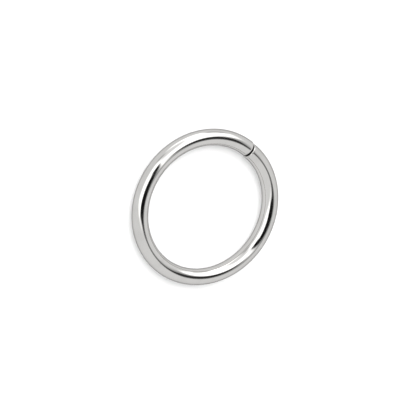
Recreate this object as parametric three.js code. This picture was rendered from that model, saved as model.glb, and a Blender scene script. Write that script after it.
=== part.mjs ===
// A plain seamless nose ring: one length of polished round wire, its ends rounded off and
// bent round until they all but meet in a butt seam. It is one piece, with no clasp or hinge.
//
// Millimetres, +Z up. The ring lies on its side, so its axis is Z. The origin is on the surface
// that it rests on, under the middle of the hole. The seam is on -X.

import * as THREE from "three";

// Driving dimensions
const WIRE_DIAMETER = 1.024; // 18 gauge
const INNER_DIAMETER = 7.94; // 5/16 inch
const SEAM_GAP = 0.09; // between the two end faces
const SEAM_ANGLE = Math.PI; // on -X
const FIRST_END_ROUNDING = 0.11; // radius on the rim of the end face
const LAST_END_ROUNDING = 0.06;
const FIRST_END_INSET = 0.02; // how far the end has sprung inwards from the true circle
const LAST_END_INSET = 0.06;
const INSET_RELAX = 1.6; // the length of wire in which an inset dies away to 1/e

// Facets
const WIRE_SIDES = 24; // a multiple of 4, so that a flat faces straight down
const RING_STEPS = 72;
const ROUNDING_STEPS = 3;

// Worked out from the dimensions
const WIRE_RADIUS = WIRE_DIAMETER / 2;
const RING_RADIUS = (INNER_DIAMETER + WIRE_DIAMETER) / 2; // to the middle of the wire
const WIRE_LENGTH = 2 * Math.PI * RING_RADIUS - SEAM_GAP;

const polishedSteel = new THREE.MeshStandardMaterial({
  color: 0xcbcac8,
  roughness: 0.08,
  metalness: 1,
});

// Half the outline of one end of the straight wire, from the middle of its face to its side:
// x is the distance from the wire's axis and y the distance from the face.
function endProfile(rounding) {
  const rim = WIRE_RADIUS - rounding;
  const arc = new THREE.EllipseCurve(rim, rounding, rounding, rounding, -Math.PI / 2, 0);
  return [new THREE.Vector2(0, 0), ...arc.getPoints(ROUNDING_STEPS)];
}

// Half the outline of the whole straight wire, from the middle of one end to that of the other.
function wireProfile() {
  const firstEnd = endProfile(FIRST_END_ROUNDING);
  const lastEnd = endProfile(LAST_END_ROUNDING)
    .map((point) => new THREE.Vector2(point.x, WIRE_LENGTH - point.y))
    .reverse();
  const side = new THREE.LineCurve(firstEnd.at(-1), lastEnd[0]);
  return [...firstEnd, ...side.getPoints(RING_STEPS).slice(1, -1), ...lastEnd];
}

// The wire before it is bent: it runs along Y, from y = 0. Its flats are a wire radius from its
// axis, so that the ring is its real height and its hole its real width.
function straightWire() {
  const flat = (2 * Math.PI) / WIRE_SIDES;
  const wire = new THREE.LatheGeometry(wireProfile(), WIRE_SIDES, flat / 2);
  const acrossFlats = 1 / Math.cos(flat / 2);
  return wire.scale(acrossFlats, 1, acrossFlats);
}

// How far inside the true circle the wire's middle lies, at a distance along the wire.
function insetAt(along) {
  const first = FIRST_END_INSET * Math.exp(-along / INSET_RELAX);
  const last = LAST_END_INSET * Math.exp((along - WIRE_LENGTH) / INSET_RELAX);
  return first + last;
}

// Bends the straight wire round Z, from one side of the seam to the other, and lays it on z = 0.
function bendToRing(wire) {
  const position = wire.getAttribute("position");
  for (let i = 0; i < position.count; i++) {
    const along = position.getY(i);
    const radius = RING_RADIUS - insetAt(along) + position.getX(i);
    const angle = SEAM_ANGLE + (SEAM_GAP / 2 + along) / RING_RADIUS;
    const height = WIRE_RADIUS + position.getZ(i);
    position.setXYZ(i, radius * Math.cos(angle), radius * Math.sin(angle), height);
  }
  wire.computeVertexNormals();
  return wire;
}

function wireRing() {
  const ring = new THREE.Mesh(bendToRing(straightWire()), polishedSteel);
  ring.name = "wire_ring";
  return ring;
}

const noseRing = new THREE.Group();
noseRing.add(wireRing());

export default noseRing;
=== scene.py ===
"""A plain seamless nose ring of polished steel wire, lying on a pale floor in soft studio light.

The ring is one length of round wire. Geometry Nodes bend it round from its sizes, with its two
rounded ends meeting in a butt seam on -X. Everything is in metres, with +Z up, and the ring
lies on its side on z = 0.
"""

import math
from typing import NamedTuple

import bpy
from mathutils import Matrix, Vector


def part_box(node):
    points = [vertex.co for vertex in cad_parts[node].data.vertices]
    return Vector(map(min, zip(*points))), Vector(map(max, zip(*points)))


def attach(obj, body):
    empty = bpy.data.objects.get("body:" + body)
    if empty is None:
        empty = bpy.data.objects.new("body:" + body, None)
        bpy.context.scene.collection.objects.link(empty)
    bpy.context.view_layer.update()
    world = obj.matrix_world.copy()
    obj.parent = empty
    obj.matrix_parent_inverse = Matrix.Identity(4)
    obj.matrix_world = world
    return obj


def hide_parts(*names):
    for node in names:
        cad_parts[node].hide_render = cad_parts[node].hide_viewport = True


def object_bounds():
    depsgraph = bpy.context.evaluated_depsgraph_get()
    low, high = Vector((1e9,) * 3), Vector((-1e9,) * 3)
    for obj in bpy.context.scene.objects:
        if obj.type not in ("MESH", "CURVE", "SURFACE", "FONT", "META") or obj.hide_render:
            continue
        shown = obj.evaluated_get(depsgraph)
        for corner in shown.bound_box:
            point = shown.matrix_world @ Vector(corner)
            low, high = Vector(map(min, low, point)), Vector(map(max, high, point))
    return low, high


bl_info = {
    "name": "Seamless Nose Ring",
    "version": (1, 0, 0),
    "blender": (4, 5, 0),
    "location": "3D View > Sidebar > Nose Ring",
    "description": "Makes a plain hoop of polished round wire and the studio that it is shown in",
    "category": "Object",
}

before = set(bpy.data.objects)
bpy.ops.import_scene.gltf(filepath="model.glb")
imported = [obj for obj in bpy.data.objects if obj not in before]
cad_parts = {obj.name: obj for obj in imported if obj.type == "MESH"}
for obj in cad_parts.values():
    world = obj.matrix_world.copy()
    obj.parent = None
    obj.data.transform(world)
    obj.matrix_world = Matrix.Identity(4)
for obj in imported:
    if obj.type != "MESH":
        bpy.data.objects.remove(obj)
CAD_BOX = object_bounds()

WIRE_NODE = "wire_ring"
MM = 0.001
MICRON = 0.000001

# The wire's thickness is the height that the ring lies at, and its breadth across Y, where the
# seam doesn't alter it, is the ring's outer diameter.
RING_LOW, RING_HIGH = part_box(WIRE_NODE)
WIRE_THICKNESS = RING_HIGH.z - RING_LOW.z
OUTER_DIAMETER = RING_HIGH.y - RING_LOW.y


# ---------------------------------------------------------------------------------------------
# Settings that a user would change
# ---------------------------------------------------------------------------------------------


class WireSizes(bpy.types.PropertyGroup):
    """The wire and the seam where its ends meet."""

    thickness: bpy.props.FloatProperty(
        name="Wire Thickness",
        description="Diameter of the round wire",
        default=WIRE_THICKNESS,
        precision=6,
        unit="LENGTH",
    )
    inner_diameter: bpy.props.FloatProperty(
        name="Inner Diameter",
        description="Width of the hole in the ring",
        default=OUTER_DIAMETER - 2 * WIRE_THICKNESS,
        precision=6,
        unit="LENGTH",
    )
    seam_gap: bpy.props.FloatProperty(
        name="Seam Gap",
        description="Space between the two end faces",
        default=0.09 * MM,
        precision=6,
        unit="LENGTH",
    )
    first_rounding: bpy.props.FloatProperty(
        name="First End Rounding",
        description="Radius on the rim of the wire's first end",
        default=0.11 * MM,
        precision=6,
        unit="LENGTH",
    )
    last_rounding: bpy.props.FloatProperty(
        name="Last End Rounding",
        description="Radius on the rim of the wire's last end",
        default=0.06 * MM,
        precision=6,
        unit="LENGTH",
    )
    first_inset: bpy.props.FloatProperty(
        name="First End Inset",
        description="How far the first end has sprung inwards from the true circle",
        default=0.02 * MM,
        precision=6,
        unit="LENGTH",
    )
    last_inset: bpy.props.FloatProperty(
        name="Last End Inset",
        description="How far the last end has sprung inwards from the true circle",
        default=0.06 * MM,
        precision=6,
        unit="LENGTH",
    )
    inset_relax: bpy.props.FloatProperty(
        name="Inset Relax",
        description="Length of wire in which an inset dies away to 1/e",
        default=1.6 * MM,
        precision=6,
        unit="LENGTH",
    )
    waviness: bpy.props.FloatProperty(
        name="Waviness",
        description="How far the polished surface strays from a true tube",
        default=1.5 * MICRON,
        precision=8,
        unit="LENGTH",
    )
    steps_along: bpy.props.IntProperty(
        name="Steps Along",
        description="Faces along the wire, between its rounded ends",
        default=540,
        min=24,
    )
    steps_rounding: bpy.props.IntProperty(
        name="Rounding Steps",
        description="Faces across the rounding of each end",
        default=8,
        min=2,
    )
    sides: bpy.props.IntProperty(
        name="Sides",
        description="Faces round the wire",
        default=72,
        min=12,
    )
    seed: bpy.props.IntProperty(
        name="Seed",
        description="Chooses the pattern of the waviness",
        default=7,
    )


class SteelFinish(bpy.types.PropertyGroup):
    """The colour and polish of the steel."""

    colour: bpy.props.FloatVectorProperty(
        name="Colour",
        description="What the steel reflects when it is seen face on",
        subtype="COLOR",
        size=3,
        default=(0.575, 0.568, 0.556),
        min=0,
        max=1,
    )
    edge_tint: bpy.props.FloatProperty(
        name="Edge Tint",
        description="Tint of the steel's reflections near its outline: lower gives greyer rims",
        default=0.3,
        subtype="FACTOR",
        min=0,
        max=1,
    )
    roughness: bpy.props.FloatProperty(
        name="Roughness",
        description="Blur of the polished wire's reflections",
        default=0.06,
        subtype="FACTOR",
        min=0,
        max=1,
    )
    # Painted shade: the end faces' colour is set far darker than the steel's own, so that the seam
    # gap between them shows black. Their rougher finish is real.
    end_painted_shade_colour: bpy.props.FloatVectorProperty(
        name="End Colour With Painted Shade",
        description="What the dull, cut end faces reflect",
        subtype="COLOR",
        size=3,
        default=(0.2, 0.195, 0.19),
        min=0,
        max=1,
    )
    end_roughness: bpy.props.FloatProperty(
        name="End Roughness",
        description="Blur of the cut end faces' reflections",
        default=0.22,
        subtype="FACTOR",
        min=0,
        max=1,
    )
    hairline_width: bpy.props.FloatProperty(
        name="Hairline Width",
        description="Spacing of the polishing hairlines across the wire",
        default=0.03 * MM,
        precision=6,
        unit="LENGTH",
    )
    hairline_length: bpy.props.FloatProperty(
        name="Hairline Length",
        description="How long a polishing hairline is",
        default=1.2 * MM,
        precision=6,
        unit="LENGTH",
    )
    hairline_depth: bpy.props.FloatProperty(
        name="Hairline Depth",
        description="How deep a polishing hairline is",
        default=0.12 * MICRON,
        precision=8,
        unit="LENGTH",
    )
    smudge_size: bpy.props.FloatProperty(
        name="Smudge Size",
        description="Breadth of the faint smudges",
        default=1.4 * MM,
        precision=6,
        unit="LENGTH",
    )


class StudioSettings(bpy.types.PropertyGroup):
    """The camera, the light and the floor."""

    azimuth: bpy.props.FloatProperty(
        name="Azimuth",
        description="Camera's direction round the ring, from -Y towards +X",
        default=math.radians(6.6),
        subtype="ANGLE",
    )
    elevation: bpy.props.FloatProperty(
        name="Elevation",
        description="Camera's height above the floor, as an angle",
        default=math.radians(58.7),
        subtype="ANGLE",
    )
    roll: bpy.props.FloatProperty(
        name="Roll",
        description="Turn of the camera about the line that it looks along",
        default=math.radians(121.3),
        subtype="ANGLE",
    )
    focal_length: bpy.props.FloatProperty(
        name="Focal Length",
        description="Length of the lens, in millimetres",
        default=500,
    )
    view_width: bpy.props.FloatProperty(
        name="View Width",
        description="Breadth of what the camera sees at the ring",
        default=25.66 * MM,
        precision=6,
        unit="LENGTH",
    )
    ring_left: bpy.props.FloatProperty(
        name="Ring Left",
        description="How far the ring lies left of the middle of the view",
        default=0.17 * MM,
        precision=6,
        unit="LENGTH",
    )
    ring_up: bpy.props.FloatProperty(
        name="Ring Up",
        description="How far the ring lies above the middle of the view",
        default=0.05 * MM,
        precision=6,
        unit="LENGTH",
    )
    wall_light: bpy.props.FloatProperty(
        name="Wall Light",
        description="Brightness of the pale walls round the set",
        default=1.06,
        min=0,
    )
    floor_shade: bpy.props.FloatProperty(
        name="Floor Shade",
        description="How much light the floor sends back",
        default=0.88,
        subtype="FACTOR",
        min=0,
        max=1,
    )
    lamp_power: bpy.props.FloatProperty(
        name="Lamp Power",
        description="Strength of the soft lamp that whitens the floor",
        default=1.2,
        min=0,
    )


# ---------------------------------------------------------------------------------------------
# Node helpers
# ---------------------------------------------------------------------------------------------


def put(tree, kind, inputs=None, **settings):
    """A new node, with its settings made and its inputs set or linked, by socket name or number."""
    made = tree.nodes.new(kind)
    for name, value in settings.items():
        setattr(made, name, value)
    for socket, value in (inputs or {}).items():
        if isinstance(value, bpy.types.NodeSocket):
            tree.links.new(value, made.inputs[socket])
        else:
            made.inputs[socket].default_value = value
    return made


class Sums:
    """Writes sums as Math nodes in one tree: Sums(tree)("ADD", a, b) is the socket of a + b."""

    def __init__(self, tree):
        self.tree = tree

    def __call__(self, operation, *values):
        node = put(self.tree, "ShaderNodeMath", dict(enumerate(values)), operation=operation)
        return node.outputs[0]

    def clamped(self, operation, *values):
        socket = self(operation, *values)
        socket.node.use_clamp = True
        return socket

    def total(self, *values):
        answer = values[0]
        for value in values[1:]:
            answer = self("ADD", answer, value)
        return answer

    def product(self, *values):
        answer = values[0]
        for value in values[1:]:
            answer = self("MULTIPLY", answer, value)
        return answer


def new_group(name, kind, inputs, outputs):
    """An empty node group with sockets of those names and types, and its input and output nodes."""
    tree = bpy.data.node_groups.new(name, kind)
    for in_out, sockets in (("INPUT", inputs), ("OUTPUT", outputs)):
        for label, socket_type in sockets.items():
            tree.interface.new_socket(label, in_out=in_out, socket_type=socket_type)
    return tree, put(tree, "NodeGroupInput").outputs, put(tree, "NodeGroupOutput").inputs


# ---------------------------------------------------------------------------------------------
# Finish of the steel
# ---------------------------------------------------------------------------------------------

BLUR_GROWTH = 0.5  # how much rougher a line or a smudge makes the steel, as a part of its roughness
SMUDGE_SHADE = 0.95  # a smudge's colour, as a part of clean steel's
SMUDGE_LOW, SMUDGE_HIGH = 0.42, 0.72  # the noise at which a smudge starts and is full
LINE_CONTRAST, LINE_OFFSET = 2.4, -0.9  # spread the line noise over 0 to 1
STRAIGHT_PLACE = "straight_place"  # where a point lay before the wire was bent: x along the wire


def polishing_lines_group():
    """Polishing lines, as a height and a blur, and the smudges over them."""
    tree, given, result = new_group(
        "polishing_lines",
        "ShaderNodeTree",
        {
            "Line Width": "NodeSocketFloat",
            "Line Length": "NodeSocketFloat",
            "Smudge Size": "NodeSocketFloat",
        },
        {"Height": "NodeSocketFloat", "Blur": "NodeSocketFloat", "Smudge": "NodeSocketFloat"},
    )
    place = put(tree, "ShaderNodeAttribute", attribute_name=STRAIGHT_PLACE).outputs["Vector"]
    axes = put(tree, "ShaderNodeSeparateXYZ", {0: place}).outputs
    sums = Sums(tree)
    stretched = put(
        tree,
        "ShaderNodeCombineXYZ",
        {
            "X": sums("DIVIDE", axes["X"], given["Line Length"]),
            "Y": sums("DIVIDE", axes["Y"], given["Line Width"]),
            "Z": sums("DIVIDE", axes["Z"], given["Line Width"]),
        },
    ).outputs[0]
    lines = put(tree, "ShaderNodeTexNoise", {"Vector": stretched, "Scale": 1, "Detail": 3})
    round_place = put(
        tree,
        "ShaderNodeVectorMath",
        {0: place, 1: put_three(tree, sums("DIVIDE", 1, given["Smudge Size"]))},
        operation="MULTIPLY",
    ).outputs[0]
    smudge = put(
        tree,
        "ShaderNodeTexNoise",
        {"Vector": round_place, "Scale": 1, "Detail": 4, "Distortion": 0.6},
    )
    soft = put(
        tree,
        "ShaderNodeMapRange",
        {"Value": smudge.outputs[0], "From Min": SMUDGE_LOW, "From Max": SMUDGE_HIGH},
        interpolation_type="SMOOTHSTEP",
    ).outputs[0]
    tree.links.new(lines.outputs[0], result["Height"])
    blur = sums.clamped("MULTIPLY_ADD", lines.outputs[0], LINE_CONTRAST, LINE_OFFSET)
    tree.links.new(blur, result["Blur"])
    tree.links.new(soft, result["Smudge"])
    return tree


def put_three(tree, value):
    """A vector that holds the same value three times."""
    return put(tree, "ShaderNodeCombineXYZ", {"X": value, "Y": value, "Z": value}).outputs[0]


def steel_material(name, finish, lines_group, colour, roughness):
    """Polished steel: a clear metal whose roughness and relief follow the polishing lines."""
    material = bpy.data.materials.new(name)
    material.use_nodes = True
    tree = material.node_tree
    tree.nodes.clear()
    sums = Sums(tree)
    lines = put(tree, "ShaderNodeGroup", node_tree=lines_group)
    lines.inputs["Line Width"].default_value = finish.hairline_width
    lines.inputs["Line Length"].default_value = finish.hairline_length
    lines.inputs["Smudge Size"].default_value = finish.smudge_size
    blur = sums.total(
        roughness,
        sums.product(lines.outputs["Blur"], BLUR_GROWTH * roughness),
        sums.product(lines.outputs["Smudge"], BLUR_GROWTH * roughness),
    )
    smudged = put(
        tree,
        "ShaderNodeMix",
        {
            0: lines.outputs["Smudge"],
            6: (*colour, 1),
            7: (*(SMUDGE_SHADE * part for part in colour), 1),
        },
        data_type="RGBA",
    ).outputs[2]
    bump = put(
        tree,
        "ShaderNodeBump",
        {"Strength": 1.0, "Distance": finish.hairline_depth, "Height": lines.outputs["Height"]},
    )
    shader = put(
        tree,
        "ShaderNodeBsdfPrincipled",
        {
            "Base Color": smudged,
            "Metallic": 1.0,
            "Roughness": blur,
            "Normal": bump.outputs[0],
            "Specular Tint": (finish.edge_tint, finish.edge_tint, finish.edge_tint, 1),
        },
    )
    put(tree, "ShaderNodeOutputMaterial", {"Surface": shader.outputs[0]})
    return material


# ---------------------------------------------------------------------------------------------
# The wire ring
# ---------------------------------------------------------------------------------------------


def wire_ring_tree():
    """Geometry Nodes that bend a length of round wire into a ring, with a seam on -X."""
    tree, given, result = new_group(
        "wire_ring",
        "GeometryNodeTree",
        {
            "Thickness": "NodeSocketFloat",
            "Inner Diameter": "NodeSocketFloat",
            "Seam Gap": "NodeSocketFloat",
            "First End Rounding": "NodeSocketFloat",
            "Last End Rounding": "NodeSocketFloat",
            "First End Inset": "NodeSocketFloat",
            "Last End Inset": "NodeSocketFloat",
            "Inset Relax": "NodeSocketFloat",
            "Waviness": "NodeSocketFloat",
            "Steps Along": "NodeSocketInt",
            "Rounding Steps": "NodeSocketInt",
            "Sides": "NodeSocketInt",
            "Seed": "NodeSocketInt",
            "Wire Material": "NodeSocketMaterial",
            "End Material": "NodeSocketMaterial",
        },
        {"Geometry": "NodeSocketGeometry"},
    )
    sums = Sums(tree)
    wire_radius = sums("DIVIDE", given["Thickness"], 2)
    ring_radius = sums("DIVIDE", sums.total(given["Inner Diameter"], given["Thickness"]), 2)
    length = sums("SUBTRACT", sums.product(ring_radius, 2 * math.pi), given["Seam Gap"])

    along, rim = places_along(tree, given, length)
    inset = inset_along(tree, given, along, length)
    radius = sums("SUBTRACT", ring_radius, inset)
    half_gap = sums("DIVIDE", given["Seam Gap"], 2)
    turned = sums("DIVIDE", sums.total(along, half_gap), ring_radius)
    angle = sums.total(turned, math.pi)
    place = put(
        tree,
        "ShaderNodeCombineXYZ",
        {
            "X": sums.product(radius, sums("COSINE", angle)),
            "Y": sums.product(radius, sums("SINE", angle)),
            "Z": wire_radius,
        },
    ).outputs[0]

    stations = sums.total(given["Steps Along"], sums.product(given["Rounding Steps"], 2), 1)
    line = put(tree, "GeometryNodeCurvePrimitiveLine").outputs[0]
    points = put(
        tree, "GeometryNodeResampleCurve", {"Curve": line, "Count": stations}, mode="COUNT"
    ).outputs[0]
    marked = put(
        tree,
        "GeometryNodeStoreNamedAttribute",
        {"Geometry": points, "Name": "along", "Value": along},
        data_type="FLOAT",
        domain="POINT",
    ).outputs[0]
    bent = put(tree, "GeometryNodeSetPosition", {"Geometry": marked, "Position": place}).outputs[0]
    upright = put(tree, "GeometryNodeSetCurveNormal", {"Curve": bent}, mode="Z_UP").outputs[0]

    circle = put(
        tree, "GeometryNodeCurvePrimitiveCircle", {"Resolution": given["Sides"], "Radius": 1.0}
    ).outputs[0]
    section = put(
        tree,
        "GeometryNodeStoreNamedAttribute",
        {
            "Geometry": circle,
            "Name": "section",
            "Value": put(tree, "GeometryNodeInputPosition").outputs[0],
        },
        data_type="FLOAT_VECTOR",
        domain="POINT",
    ).outputs[0]
    size = sums("SUBTRACT", wire_radius, rim)
    tube = put(
        tree,
        "GeometryNodeCurveToMesh",
        {"Curve": upright, "Profile Curve": section, "Scale": size, "Fill Caps": True},
    ).outputs[0]
    named = straight_places(tree, tube, wire_radius)
    wavy = waved(tree, given, named)
    finished = finished_faces(tree, given, wavy)
    tree.links.new(finished, result["Geometry"])
    return tree


def places_along(tree, given, length):
    """Each station's distance along the wire, and how much its rim is rounded in."""
    sums = Sums(tree)
    index = put(tree, "GeometryNodeInputIndex").outputs[0]
    steps = given["Rounding Steps"]
    from_last = sums(
        "SUBTRACT", sums.total(given["Steps Along"], sums.product(steps, 2)), index
    )
    first_turn = sums.product(sums.clamped("DIVIDE", index, steps), math.pi / 2)
    last_turn = sums.product(sums.clamped("DIVIDE", from_last, steps), math.pi / 2)
    middle = sums.clamped("DIVIDE", sums("SUBTRACT", index, steps), given["Steps Along"])
    first, last = given["First End Rounding"], given["Last End Rounding"]
    straight = sums("SUBTRACT", length, sums.total(first, last))
    along = sums.total(
        sums.product(first, sums("SUBTRACT", 1, sums("COSINE", first_turn))),
        sums.product(middle, straight),
        sums.product(last, sums("COSINE", last_turn)),
    )
    rim = sums.total(
        sums.product(first, sums("SUBTRACT", 1, sums("SINE", first_turn))),
        sums.product(last, sums("SUBTRACT", 1, sums("SINE", last_turn))),
    )
    return along, rim


def inset_along(tree, given, along, length):
    """How far inside the true circle each station lies: the ends have sprung a little inwards."""
    sums = Sums(tree)
    from_last = sums("SUBTRACT", length, along)
    faded = []
    for inset, distance in (("First End Inset", along), ("Last End Inset", from_last)):
        fall = sums("EXPONENT", sums("DIVIDE", distance, sums.product(given["Inset Relax"], -1)))
        faded.append(sums.product(given[inset], fall))
    return sums.total(*faded)


def straight_places(tree, tube, wire_radius):
    """Stores where each point lay on the straight wire, for patterns that follow the wire."""
    along = put(
        tree, "GeometryNodeInputNamedAttribute", {"Name": "along"}, data_type="FLOAT"
    ).outputs[0]
    section = put(
        tree, "GeometryNodeInputNamedAttribute", {"Name": "section"}, data_type="FLOAT_VECTOR"
    ).outputs[0]
    across = put(
        tree, "ShaderNodeVectorMath", {0: section, 3: wire_radius}, operation="SCALE"
    ).outputs[0]
    axes = put(tree, "ShaderNodeSeparateXYZ", {0: across}).outputs
    straight = put(
        tree, "ShaderNodeCombineXYZ", {"X": along, "Y": axes["X"], "Z": axes["Y"]}
    ).outputs[0]
    stored = put(
        tree,
        "GeometryNodeStoreNamedAttribute",
        {"Geometry": tube, "Name": STRAIGHT_PLACE, "Value": straight},
        data_type="FLOAT_VECTOR",
        domain="POINT",
    ).outputs[0]
    for spent in ("along", "section"):
        stored = put(
            tree, "GeometryNodeRemoveAttribute", {"Geometry": stored, "Name": spent}
        ).outputs[0]
    return stored


def waved(tree, given, tube):
    """Moves the surface in and out by a few microns, as on wire that was bent and polished."""
    sums = Sums(tree)
    place = put(
        tree, "GeometryNodeInputNamedAttribute", {"Name": STRAIGHT_PLACE}, data_type="FLOAT_VECTOR"
    ).outputs[0]
    wave = put(
        tree,
        "ShaderNodeTexNoise",
        {"Vector": place, "W": given["Seed"], "Scale": 0.5 / MM, "Detail": 1, "Roughness": 0.4},
        noise_dimensions="4D",
    ).outputs[0]
    height = sums.product(sums("SUBTRACT", wave, 0.5), given["Waviness"], 2)
    normal = put(tree, "GeometryNodeInputNormal").outputs[0]
    shift = put(tree, "ShaderNodeVectorMath", {0: normal, 3: height}, operation="SCALE")
    return put(
        tree, "GeometryNodeSetPosition", {"Geometry": tube, "Offset": shift.outputs[0]}
    ).outputs[0]


def finished_faces(tree, given, tube):
    """Smooth steel all over, but for the two flat end faces, which have more than four corners."""
    smooth = put(tree, "GeometryNodeSetShadeSmooth", {"Geometry": tube}, domain="FACE").outputs[0]
    corners = put(tree, "GeometryNodeInputMeshFaceNeighbors").outputs["Vertex Count"]
    is_end = put(
        tree,
        "FunctionNodeCompare",
        {2: corners, 3: 4},
        data_type="INT",
        operation="GREATER_THAN",
    ).outputs[0]
    flat = put(
        tree,
        "GeometryNodeSetShadeSmooth",
        {"Geometry": smooth, "Selection": is_end, "Shade Smooth": False},
        domain="FACE",
    ).outputs[0]
    whole = put(tree, "GeometryNodeRealizeInstances", {"Geometry": flat}).outputs[0]
    steel = put(
        tree,
        "GeometryNodeSetMaterial",
        {"Geometry": whole, "Material": given["Wire Material"]},
    ).outputs[0]
    return put(
        tree,
        "GeometryNodeSetMaterial",
        {"Geometry": steel, "Selection": is_end, "Material": given["End Material"]},
    ).outputs[0]


def plain_mesh(name, tree, values):
    """A plain mesh object made by a Geometry Nodes tree with those input values."""
    maker = bpy.data.objects.new("maker", bpy.data.meshes.new("maker"))
    bpy.context.scene.collection.objects.link(maker)
    modifier = maker.modifiers.new("nodes", "NODES")
    modifier.node_group = tree
    for item in tree.interface.items_tree:
        if item.in_out == "INPUT":
            modifier[item.identifier] = values[item.name]
    graph = bpy.context.evaluated_depsgraph_get()
    mesh = bpy.data.meshes.new_from_object(
        maker.evaluated_get(graph), preserve_all_data_layers=True, depsgraph=graph
    )
    bpy.data.objects.remove(maker)
    piece = bpy.data.objects.new(name, mesh)
    mesh.name = name
    bpy.context.scene.collection.objects.link(piece)
    return piece


class NOSERING_OT_wire(bpy.types.Operator):
    """Makes the wire ring and its steel"""

    bl_idname = "object.nose_ring_wire"
    bl_label = "Make Wire Ring"

    def execute(self, context):
        sizes = context.scene.nose_ring_wire
        finish = context.scene.nose_ring_finish
        lines = polishing_lines_group()
        wire = steel_material("polished_wire", finish, lines, finish.colour, finish.roughness)
        # The end faces get the dark end colour, which paints the shade inside the seam gap.
        ends = steel_material(
            "cut_ends_with_painted_shade", finish, lines, finish.end_painted_shade_colour, finish.end_roughness
        )
        values = {
            "Thickness": sizes.thickness,
            "Inner Diameter": sizes.inner_diameter,
            "Seam Gap": sizes.seam_gap,
            "First End Rounding": sizes.first_rounding,
            "Last End Rounding": sizes.last_rounding,
            "First End Inset": sizes.first_inset,
            "Last End Inset": sizes.last_inset,
            "Inset Relax": sizes.inset_relax,
            "Waviness": sizes.waviness,
            "Steps Along": sizes.steps_along,
            "Rounding Steps": sizes.steps_rounding,
            "Sides": sizes.sides,
            "Seed": sizes.seed,
            "Wire Material": wire,
            "End Material": ends,
        }
        ring = plain_mesh("seamless_wire_ring", wire_ring_tree(), values)
        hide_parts(WIRE_NODE)
        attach(ring, "root")
        return {"FINISHED"}


# ---------------------------------------------------------------------------------------------
# The stage
# ---------------------------------------------------------------------------------------------


class Card(NamedTuple):
    """A lit panel or a dark flag round the set, as the ring sees it."""

    name: str
    light: float  # its brightness
    softness: float  # width of its blurred edge, in degrees
    corners: tuple  # how far each leans from overhead, in degrees towards +X and towards +Y


# Each card lies over the ones before it.
CARDS = (
    Card(
        "window",
        2.3,
        12,
        ((-89, 23), (-50, 26), (-3, 33), (22, 9), (40, -22), (40, -56), (-60, -75)),
    ),
    Card("low_wall", 1.05, 16, ((-34, -64), (38, -52), (60, -90), (40, -120), (-40, -120))),
    Card("gap_in_window", 1.2, 14, ((-10, -36), (-30, -30), (-56, -46), (-40, -72), (-14, -76))),
    Card("blotch", 0.65, 10, ((-11, -62), (-25, -60), (-27, -80), (-8, -80))),
    Card("side_stand", 0.7, 12, ((-76, 6), (-75, -28), (-94, -34), (-94, 6))),
    Card("haze", 0.7, 10, ((-3, 36), (-6, 6), (-18, 3), (-34, 8), (-54, 25))),
    Card("small_flag", 0.04, 6, ((-3, 36), (-10, 7), (-23, 6), (-30, 12), (-32, 25))),
    Card("wide_flag", 0.01, 4, ((-2, 34), (26, -3), (24, -15), (4, -23), (-5, -23))),
    Card("flag_tail", 0.01, 4, ((-4, 0), (1, -4), (4, -33), (-8, -33))),
)


def towards(east, north):
    """The direction that leans from overhead by those angles towards +X and +Y, in degrees."""
    lean = math.radians(math.hypot(east, north))
    level = Vector((east, north, 0)).normalized()
    return level * math.sin(lean) + Vector((0, 0, math.cos(lean)))


def card_mask(tree, sight, card):
    """1 where the sight line meets the card and 0 elsewhere, with a soft edge."""
    sums = Sums(tree)
    corners = [towards(*corner) for corner in card.corners]
    middle = sum(corners, Vector())
    half_edge = math.radians(card.softness) / 2
    mask = 1.0
    for here, after in zip(corners, corners[1:] + corners[:1]):
        inwards = here.cross(after).normalized()
        if inwards.dot(middle) < 0:
            inwards.negate()
        reach = put(
            tree, "ShaderNodeVectorMath", {0: sight, 1: inwards}, operation="DOT_PRODUCT"
        ).outputs["Value"]
        inside = put(
            tree,
            "ShaderNodeMapRange",
            {"Value": reach, "From Min": -half_edge, "From Max": half_edge},
            interpolation_type="SMOOTHSTEP",
        ).outputs[0]
        mask = sums.product(mask, inside)
    return mask


def light_the_set(settings):
    """Pale walls all round, with the cards in front of them."""
    world = bpy.data.worlds.new("studio")
    world.use_nodes = True
    tree = world.node_tree
    tree.nodes.clear()
    sight = put(tree, "ShaderNodeTexCoord").outputs["Generated"]
    light = settings.wall_light
    for card in CARDS:
        light = put(
            tree,
            "ShaderNodeMix",
            {"Factor": card_mask(tree, sight, card), "A": light, "B": card.light},
            data_type="FLOAT",
        ).outputs["Result"]
    background = put(tree, "ShaderNodeBackground", {"Color": light, "Strength": 1.0})
    put(tree, "ShaderNodeOutputWorld", {"Surface": background.outputs[0]})
    bpy.context.scene.world = world


LAMP_SIDE = (-25, -30)  # where the lamp hangs, as a card's corner is given
LAMP_SPREAD = 50  # how wide it looks, in degrees


def hang_lamp(settings):
    """A soft lamp on the window's side. It whitens the floor and doesn't show in the steel."""
    data = bpy.data.lights.new("lamp", "SUN")
    data.energy = settings.lamp_power
    data.angle = math.radians(LAMP_SPREAD)
    lamp = bpy.data.objects.new("lamp", data)
    lamp.matrix_world = towards(*LAMP_SIDE).to_track_quat("Z", "Y").to_matrix().to_4x4()
    lamp.visible_glossy = False
    bpy.context.scene.collection.objects.link(lamp)


def floor_material(shade):
    """Matt and plain."""
    material = bpy.data.materials.new("pale_floor")
    material.use_nodes = True
    shader = material.node_tree.nodes["Principled BSDF"]
    shader.inputs["Base Color"].default_value = (shade, shade, shade, 1)
    shader.inputs["Roughness"].default_value = 1.0
    shader.inputs["Specular IOR Level"].default_value = 0.0
    return material


def lay_floor(settings, reach=3.0):
    """A wide plain floor on z = 0, which doesn't show in the steel."""
    mesh = bpy.data.meshes.new("floor")
    corners = [(-reach, -reach, 0), (reach, -reach, 0), (reach, reach, 0), (-reach, reach, 0)]
    mesh.from_pydata(corners, [], [(0, 1, 2, 3)])
    mesh.materials.append(floor_material(settings.floor_shade))
    floor = bpy.data.objects.new("floor", mesh)
    bpy.context.scene.collection.objects.link(floor)
    floor.visible_glossy = False


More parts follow.
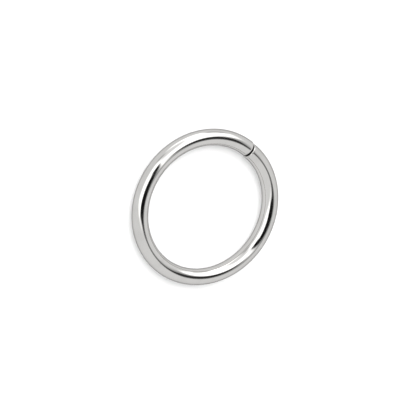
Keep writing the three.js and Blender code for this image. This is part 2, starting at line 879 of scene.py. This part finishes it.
def place_camera(settings):
    """A long lens that looks down at the ring from one side."""
    data = bpy.data.cameras.new("camera")
    data.lens = settings.focal_length
    distance = settings.view_width * data.lens / data.sensor_width
    data.clip_start = distance / 10
    data.clip_end = distance * 10
    turn = (
        Matrix.Rotation(settings.azimuth, 4, "Z")
        @ Matrix.Rotation(math.pi / 2 - settings.elevation, 4, "X")
        @ Matrix.Rotation(settings.roll, 4, "Z")
    )
    low, high = CAD_BOX
    middle = (low + high) / 2
    back = Matrix.Translation((settings.ring_left, -settings.ring_up, distance))
    camera = bpy.data.objects.new("camera", data)
    camera.matrix_world = Matrix.Translation(middle) @ turn @ back
    bpy.context.scene.collection.objects.link(camera)
    bpy.context.scene.camera = camera


class NOSERING_OT_stage(bpy.types.Operator):
    """Lays the floor, lights the set and places the camera"""

    bl_idname = "scene.nose_ring_stage"
    bl_label = "Make Stage"

    def execute(self, context):
        settings = context.scene.nose_ring_studio
        place_camera(settings)
        lay_floor(settings)
        light_the_set(settings)
        hang_lamp(settings)
        context.scene.view_settings.view_transform = "Standard"
        context.scene.view_settings.look = "None"
        return {"FINISHED"}


# ---------------------------------------------------------------------------------------------
# The add-on
# ---------------------------------------------------------------------------------------------


class NOSERING_PT_sidebar(bpy.types.Panel):
    """Lists the ring's settings and the steps that make it"""

    bl_idname = "NOSERING_PT_sidebar"
    bl_label = "Seamless Nose Ring"
    bl_space_type = "VIEW_3D"
    bl_region_type = "UI"
    bl_category = "Nose Ring"

    def draw(self, context):
        scene = context.scene
        for settings in (scene.nose_ring_wire, scene.nose_ring_finish, scene.nose_ring_studio):
            box = self.layout.box()
            for name in settings.bl_rna.properties.keys():
                if name not in ("rna_type", "name"):
                    box.prop(settings, name)
        for step in STEPS:
            self.layout.operator(step.bl_idname)


STEPS = (NOSERING_OT_stage, NOSERING_OT_wire)
CLASSES = (WireSizes, SteelFinish, StudioSettings, *STEPS, NOSERING_PT_sidebar)
SETTINGS = {
    "nose_ring_wire": WireSizes,
    "nose_ring_finish": SteelFinish,
    "nose_ring_studio": StudioSettings,
}


def register():
    for cls in CLASSES:
        bpy.utils.register_class(cls)
    for name, group in SETTINGS.items():
        setattr(bpy.types.Scene, name, bpy.props.PointerProperty(type=group))


def unregister():
    for name in SETTINGS:
        delattr(bpy.types.Scene, name)
    for cls in reversed(CLASSES):
        bpy.utils.unregister_class(cls)


def main():
    register()
    bpy.ops.scene.nose_ring_stage()
    bpy.ops.object.nose_ring_wire()


if __name__ == "__main__":
    main()
